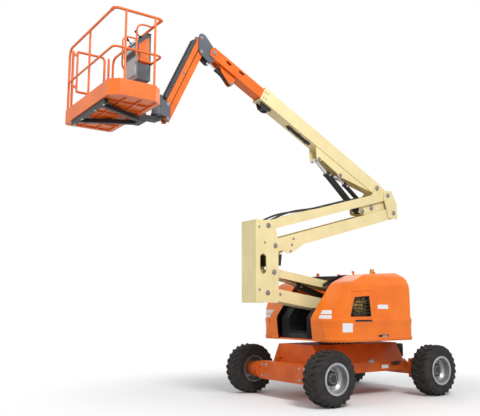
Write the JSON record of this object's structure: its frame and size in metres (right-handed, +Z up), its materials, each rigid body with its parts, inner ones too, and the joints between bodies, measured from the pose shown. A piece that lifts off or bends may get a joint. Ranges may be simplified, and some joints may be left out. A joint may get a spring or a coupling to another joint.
{
  "type": "self-propelled articulating boom lift",
  "caption": "Self-propelled articulating boom lift: lugged tyres, slewing hooded turntable, folding parallelogram tower, telescopic boom, jib and railed work platform.",
  "frame": {"origin": "on the ground under the middle of the whole machine's length and width, in the posed state of the picture", "axes": "+X towards the work platform, +Y to the machine's left side, +Z up"},
  "size_m": [6.339, 2.4166, 5.8104],
  "materials": {
    "orange": "gloss paint",
    "orange_dark": "semi-gloss paint",
    "cream": "gloss paint",
    "grey": "satin paint",
    "dark_grey": "satin paint",
    "black": "satin paint",
    "black_cast": "painted casting",
    "steel": "hard chrome rod",
    "rim": "silver paint",
    "tyre": "rubber",
    "hood": "gloss moulding",
    "unit": "matt",
    "amber": "clear amber lens"
  },
  "bodies": {
    "chassis": {"chassis_frame": "orange_dark", "rear_cover": "unit", "slew_ring": "black", "front_axle": "orange_dark", "rear_axle": "orange_dark"},
    "wheel_front_left": {"tyre_front_left": "tyre", "rim_front_left": "rim"},
    "wheel_front_right": {"tyre_front_right": "tyre", "rim_front_right": "rim"},
    "wheel_rear_left": {"tyre_rear_left": "tyre", "rim_rear_left": "rim"},
    "wheel_rear_right": {"tyre_rear_right": "tyre", "rim_rear_right": "rim"},
    "knuckle_left": {"knuckle_left": "black"},
    "knuckle_right": {"knuckle_right": "black"},
    "steer_rod": {"steer_rod": "steel"},
    "turntable": {"turntable_deck": "black", "counterweight": "black_cast", "engine_block": "unit", "tank_block": "unit", "inner_bay": "unit", "top_screen": "black", "beacon": "amber"},
    "hood_left": {"hood_left": "hood", "vent_left": "unit"},
    "hood_right": {"hood_right": "hood", "vent_right": "unit"},
    "lower_arm": {"lower_arm": "cream"},
    "lower_tie": {"lower_tie": "cream"},
    "upright": {"upright": "cream", "hose_guard": "unit"},
    "upper_arm": {"upper_arm": "cream"},
    "upper_tie": {"upper_tie": "cream"},
    "tower_head": {"tower_head": "cream"},
    "main_boom": {"main_boom": "cream"},
    "fly_boom": {"fly_boom": "orange"},
    "jib_base": {"jib_base": "grey"},
    "jib_tie": {"jib_tie": "orange"},
    "jib_head": {"jib_head": "grey"},
    "gate": {"gate": "orange"},
    "jib_beam": {"jib_beam": "orange", "jib_duct": "unit"},
    "platform": {"platform_support": "dark_grey", "platform_tray": "orange", "rail_front": "orange", "rail_rear": "orange", "rail_left": "orange", "rail_right": "orange", "console": "unit"},
    "tower_barrel": {"tower_barrel": "black"},
    "tower_rod": {"tower_rod": "steel"},
    "lift_barrel": {"lift_barrel": "black"},
    "lift_rod": {"lift_rod": "steel"},
    "level_barrel": {"level_barrel": "black"},
    "level_rod": {"level_rod": "steel"},
    "slave_barrel": {"slave_barrel": "black"},
    "slave_rod": {"slave_rod": "steel"},
    "jib_barrel": {"jib_barrel": "black"},
    "jib_rod": {"jib_rod": "steel"}
  },
  "joints": [
    {"name": "spin_front_left", "type": "hinge", "parent": "chassis", "child": "wheel_front_left", "pos_m": [-0.38053, 1.035, 0.419], "axis": [0, 1, 0], "continuous": true},
    {"name": "spin_front_right", "type": "hinge", "parent": "chassis", "child": "wheel_front_right", "pos_m": [-0.38053, -1.035, 0.419], "axis": [0, 1, 0], "continuous": true},
    {"name": "spin_rear_left", "type": "hinge", "parent": "knuckle_left", "child": "wheel_rear_left", "pos_m": [-2.75053, 1.035, 0.419], "axis": [0, 1, 0], "continuous": true},
    {"name": "spin_rear_right", "type": "hinge", "parent": "knuckle_right", "child": "wheel_rear_right", "pos_m": [-2.75053, -1.035, 0.419], "axis": [0, 1, 0], "continuous": true},
    {"name": "steer_left", "type": "hinge", "parent": "chassis", "child": "knuckle_left", "pos_m": [-2.75053, 0.72, 0.419], "axis": [0, 0, 1], "range_deg": [-32, 32]},
    {"name": "steer_right", "type": "hinge", "parent": "chassis", "child": "knuckle_right", "pos_m": [-2.75053, -0.72, 0.419], "axis": [0, 0, 1], "range_deg": [-32, 32]},
    {"name": "steer_rod_slide", "type": "slide", "parent": "chassis", "child": "steer_rod", "axis": [0, 1, 0], "range_m": [-0.0906, 0.0906]},
    {"name": "swing", "type": "hinge", "parent": "chassis", "child": "turntable", "pos_m": [-1.56553, 0, 0.935], "axis": [0, 0, 1], "range_deg": [-177.5, 177.5]},
    {"name": "hood_left_open", "type": "hinge", "parent": "turntable", "child": "hood_left", "pos_m": [-1.56553, 0.4415, 2.069], "axis": [1, 0, 0], "range_deg": [0, 65]},
    {"name": "hood_right_open", "type": "hinge", "parent": "turntable", "child": "hood_right", "pos_m": [-1.56553, -0.4415, 2.069], "axis": [-1, 0, 0], "range_deg": [0, 65]},
    {"name": "tower_lift", "type": "hinge", "parent": "turntable", "child": "lower_arm", "pos_m": [-2.13853, 0, 1.348], "axis": [0, -1, 0], "range_deg": [-14, 58]},
    {"name": "lower_tie_swing", "type": "hinge", "parent": "turntable", "child": "lower_tie", "pos_m": [-2.26853, 0, 1.678], "axis": [0, -1, 0], "range_deg": [-14, 58]},
    {"name": "upright_level", "type": "hinge", "parent": "lower_arm", "child": "upright", "pos_m": [0.13439, 0, 1.69987], "axis": [0, -1, 0], "range_deg": [-58, 14]},
    {"name": "upper_arm_swing", "type": "hinge", "parent": "upright", "child": "upper_arm", "pos_m": [-0.02561, 0, 2.45987], "axis": [0, 1, 0], "range_deg": [-12.6, 52.2]},
    {"name": "upper_tie_swing", "type": "hinge", "parent": "upright", "child": "upper_tie", "pos_m": [0.11439, 0, 2.77987], "axis": [0, 1, 0], "range_deg": [-12.6, 52.2]},
    {"name": "tower_head_level", "type": "hinge", "parent": "upper_arm", "child": "tower_head", "pos_m": [-2.83247, 0, 3.22774], "axis": [0, 1, 0], "range_deg": [-52.2, 12.6]},
    {"name": "boom_lift", "type": "hinge", "parent": "tower_head", "child": "main_boom", "pos_m": [-2.48247, 0, 3.67774], "axis": [0, -1, 0], "range_deg": [-24.4, 47.6]},
    {"name": "fly_extend", "type": "slide", "parent": "main_boom", "child": "fly_boom", "axis": [0.8878, 0, 0.4602], "range_m": [-0.5, 0.9]},
    {"name": "jib_base_level", "type": "hinge", "parent": "fly_boom", "child": "jib_base", "pos_m": [1.09365, 0, 5.53142], "axis": [0, -1, 0], "range_deg": [-47.6, 24.4]},
    {"name": "jib_lift", "type": "hinge", "parent": "jib_base", "child": "jib_beam", "pos_m": [1.33165, 0, 5.72842], "axis": [0, -1, 0], "range_deg": [-2, 131]},
    {"name": "jib_tie_swing", "type": "hinge", "parent": "jib_base", "child": "jib_tie", "pos_m": [1.33165, 0, 5.49842], "axis": [0, -1, 0], "range_deg": [-2, 131]},
    {"name": "jib_head_level", "type": "hinge", "parent": "jib_beam", "child": "jib_head", "pos_m": [1.90853, 0, 4.51896], "axis": [0, -1, 0], "range_deg": [-131, 2]},
    {"name": "platform_turn", "type": "hinge", "parent": "jib_head", "child": "platform", "pos_m": [2.05153, 0, 4.32896], "axis": [0, 0, 1], "range_deg": [-90, 90]},
    {"name": "gate_swing", "type": "hinge", "parent": "platform", "child": "gate", "pos_m": [3.04753, -0.8777, 5], "axis": [0, 0, -1], "range_deg": [0, 88]},
    {"name": "tower_barrel_swing", "type": "hinge", "parent": "turntable", "child": "tower_barrel", "pos_m": [-2.13853, 0, 1.348], "axis": [0, -1, 0], "range_deg": [-13.42, 55.6]},
    {"name": "tower_rod_slide", "type": "slide", "parent": "tower_barrel", "child": "tower_rod", "axis": [0.9529, 0, 0.3032], "range_m": [-0.0806, 0.3335]},
    {"name": "lift_barrel_swing", "type": "hinge", "parent": "tower_head", "child": "lift_barrel", "pos_m": [-2.07547, 0, 3.20974], "axis": [0, -1, 0], "range_deg": [-22.31, 43.52]},
    {"name": "lift_rod_slide", "type": "slide", "parent": "lift_barrel", "child": "lift_rod", "axis": [0.7562, 0, 0.6544], "range_m": [-0.2505, 0.4886]},
    {"name": "level_barrel_swing", "type": "hinge", "parent": "tower_head", "child": "level_barrel", "pos_m": [-2.31547, 0, 3.28974], "axis": [0, -1, 0], "range_deg": [-20.25, 39.5]},
    {"name": "level_rod_slide", "type": "slide", "parent": "level_barrel", "child": "level_rod", "axis": [0.8047, 0, 0.5937], "range_m": [-0.1593, 0.3107]},
    {"name": "slave_barrel_swing", "type": "hinge", "parent": "fly_boom", "child": "slave_barrel", "pos_m": [0.73316, 0, 5.10127], "axis": [0, -1, 0], "range_deg": [-4.07, 7.94]},
    {"name": "slave_rod_slide", "type": "slide", "parent": "slave_barrel", "child": "slave_rod", "axis": [0.8322, 0, 0.5545], "range_m": [-0.1127, 0.0578]},
    {"name": "jib_barrel_swing", "type": "hinge", "parent": "jib_base", "child": "jib_barrel", "pos_m": [1.33165, 0, 5.60342], "axis": [0, -1, 0], "range_deg": [-1.99, 129.95]},
    {"name": "jib_rod_slide", "type": "slide", "parent": "jib_barrel", "child": "jib_rod", "axis": [0.4994, 0, -0.8664], "range_m": [-0.0038, 0.2404]}
  ],
  "couplings": [
    {"joint": "steer_right", "follows": "steer_left", "ratio": 1},
    {"joint": "steer_rod_slide", "follows": "steer_left", "m_per_rad": -0.162},
    {"joint": "lower_tie_swing", "follows": "tower_lift", "ratio": 1},
    {"joint": "upright_level", "follows": "tower_lift", "ratio": -1},
    {"joint": "upper_arm_swing", "follows": "tower_lift", "ratio": 0.9},
    {"joint": "upper_tie_swing", "follows": "tower_lift", "ratio": 0.9},
    {"joint": "tower_head_level", "follows": "tower_lift", "ratio": -0.9},
    {"joint": "jib_base_level", "follows": "boom_lift", "ratio": -1},
    {"joint": "jib_tie_swing", "follows": "jib_lift", "ratio": 1},
    {"joint": "jib_head_level", "follows": "jib_lift", "ratio": -1},
    {"joint": "tower_barrel_swing", "follows": "tower_lift", "ratio": 0.9586},
    {"joint": "tower_rod_slide", "follows": "tower_lift", "m_per_rad": 0.3293},
    {"joint": "lift_barrel_swing", "follows": "boom_lift", "ratio": 0.9142},
    {"joint": "lift_rod_slide", "follows": "boom_lift", "m_per_rad": 0.588},
    {"joint": "level_barrel_swing", "follows": "boom_lift", "ratio": 0.8298},
    {"joint": "level_rod_slide", "follows": "boom_lift", "m_per_rad": 0.3738},
    {"joint": "slave_barrel_swing", "follows": "boom_lift", "ratio": 0.1667},
    {"joint": "slave_rod_slide", "follows": "boom_lift", "m_per_rad": -0.1355},
    {"joint": "jib_barrel_swing", "follows": "jib_lift", "ratio": 0.992},
    {"joint": "jib_rod_slide", "follows": "jib_lift", "m_per_rad": 0.1051}
  ]
}
